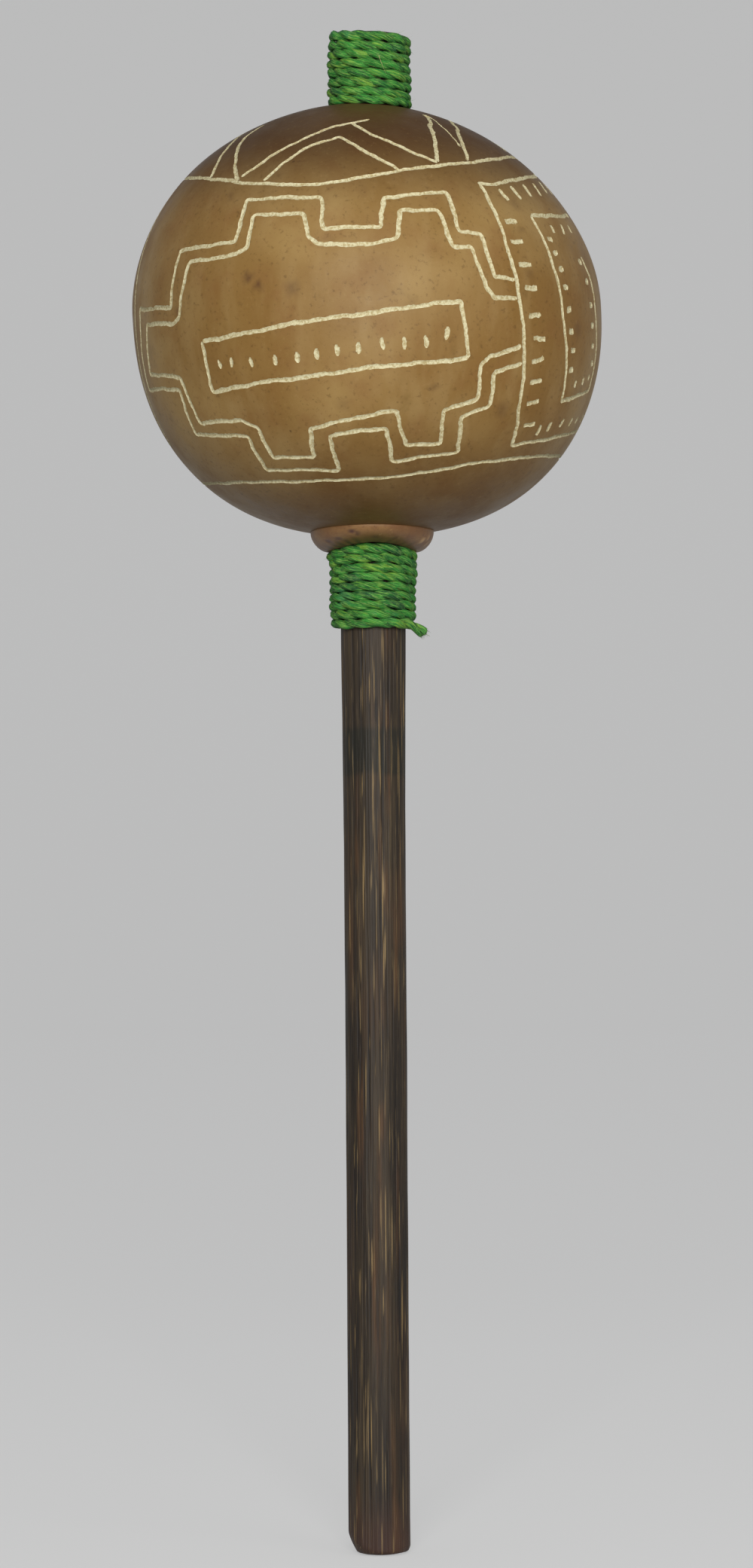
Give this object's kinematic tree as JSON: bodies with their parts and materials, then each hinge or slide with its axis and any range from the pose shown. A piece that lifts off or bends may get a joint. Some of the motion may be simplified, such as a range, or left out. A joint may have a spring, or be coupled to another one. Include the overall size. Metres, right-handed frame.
{
  "type": "gourd rattle",
  "caption": "Round gourd rattle on a straight palm-wood stick, tied above and below with twine; loose seeds inside hop when it is shaken.",
  "frame": {"origin": "centre of the stick's flat butt end", "axes": "+Z along the stick, from the butt to the crown; -Y is the front, towards which the stepped fret faces; +X to its right"},
  "size_m": [0.12, 0.12, 0.3895],
  "materials": {
    "palm_wood": "scraped and rubbed black palm wood, satin",
    "gourd_rind": "oiled gourd rind, satin, with scratched pale lines",
    "pale_rind": "paler smooth rind, satin",
    "green_twine": "dyed plied palm-fibre twine, matt",
    "seed": "hard dark seed, satin"
  },
  "bodies": {
    "rattle": {"stick": "palm_wood", "gourd_shell": "gourd_rind", "neck_collar": "pale_rind", "upper_binding": "green_twine", "lower_binding": "green_twine"},
    "seed_01": {"seed_01": "seed"},
    "seed_02": {"seed_02": "seed"},
    "seed_03": {"seed_03": "seed"},
    "seed_04": {"seed_04": "seed"},
    "seed_05": {"seed_05": "seed"},
    "seed_06": {"seed_06": "seed"},
    "seed_07": {"seed_07": "seed"},
    "seed_08": {"seed_08": "seed"},
    "seed_09": {"seed_09": "seed"},
    "seed_10": {"seed_10": "seed"},
    "seed_11": {"seed_11": "seed"},
    "seed_12": {"seed_12": "seed"},
    "seed_13": {"seed_13": "seed"},
    "seed_14": {"seed_14": "seed"},
    "seed_15": {"seed_15": "seed"},
    "seed_16": {"seed_16": "seed"},
    "seed_17": {"seed_17": "seed"},
    "seed_18": {"seed_18": "seed"}
  },
  "joints": [
    {"name": "seed_01_hop", "type": "slide", "parent": "rattle", "child": "seed_01", "axis": [0, 0, 1], "range_m": [0, 0.0946]},
    {"name": "seed_02_hop", "type": "slide", "parent": "rattle", "child": "seed_02", "axis": [0, 0, 1], "range_m": [0, 0.0948]},
    {"name": "seed_03_hop", "type": "slide", "parent": "rattle", "child": "seed_03", "axis": [0, 0, 1], "range_m": [0, 0.0951]},
    {"name": "seed_04_hop", "type": "slide", "parent": "rattle", "child": "seed_04", "axis": [0, 0, 1], "range_m": [0, 0.0954]},
    {"name": "seed_05_hop", "type": "slide", "parent": "rattle", "child": "seed_05", "axis": [0, 0, 1], "range_m": [0, 0.0955]},
    {"name": "seed_06_hop", "type": "slide", "parent": "rattle", "child": "seed_06", "axis": [0, 0, 1], "range_m": [0, 0.0954]},
    {"name": "seed_07_hop", "type": "slide", "parent": "rattle", "child": "seed_07", "axis": [0, 0, 1], "range_m": [0, 0.0951]},
    {"name": "seed_08_hop", "type": "slide", "parent": "rattle", "child": "seed_08", "axis": [0, 0, 1], "range_m": [0, 0.0948]},
    {"name": "seed_09_hop", "type": "slide", "parent": "rattle", "child": "seed_09", "axis": [0, 0, 1], "range_m": [0, 0.091]},
    {"name": "seed_10_hop", "type": "slide", "parent": "rattle", "child": "seed_10", "axis": [0, 0, 1], "range_m": [0, 0.0914]},
    {"name": "seed_11_hop", "type": "slide", "parent": "rattle", "child": "seed_11", "axis": [0, 0, 1], "range_m": [0, 0.0919]},
    {"name": "seed_12_hop", "type": "slide", "parent": "rattle", "child": "seed_12", "axis": [0, 0, 1], "range_m": [0, 0.0926]},
    {"name": "seed_13_hop", "type": "slide", "parent": "rattle", "child": "seed_13", "axis": [0, 0, 1], "range_m": [0, 0.093]},
    {"name": "seed_14_hop", "type": "slide", "parent": "rattle", "child": "seed_14", "axis": [0, 0, 1], "range_m": [0, 0.093]},
    {"name": "seed_15_hop", "type": "slide", "parent": "rattle", "child": "seed_15", "axis": [0, 0, 1], "range_m": [0, 0.0926]},
    {"name": "seed_16_hop", "type": "slide", "parent": "rattle", "child": "seed_16", "axis": [0, 0, 1], "range_m": [0, 0.0919]},
    {"name": "seed_17_hop", "type": "slide", "parent": "rattle", "child": "seed_17", "axis": [0, 0, 1], "range_m": [0, 0.0914]},
    {"name": "seed_18_hop", "type": "slide", "parent": "rattle", "child": "seed_18", "axis": [0, 0, 1], "range_m": [0, 0.091]}
  ]
}
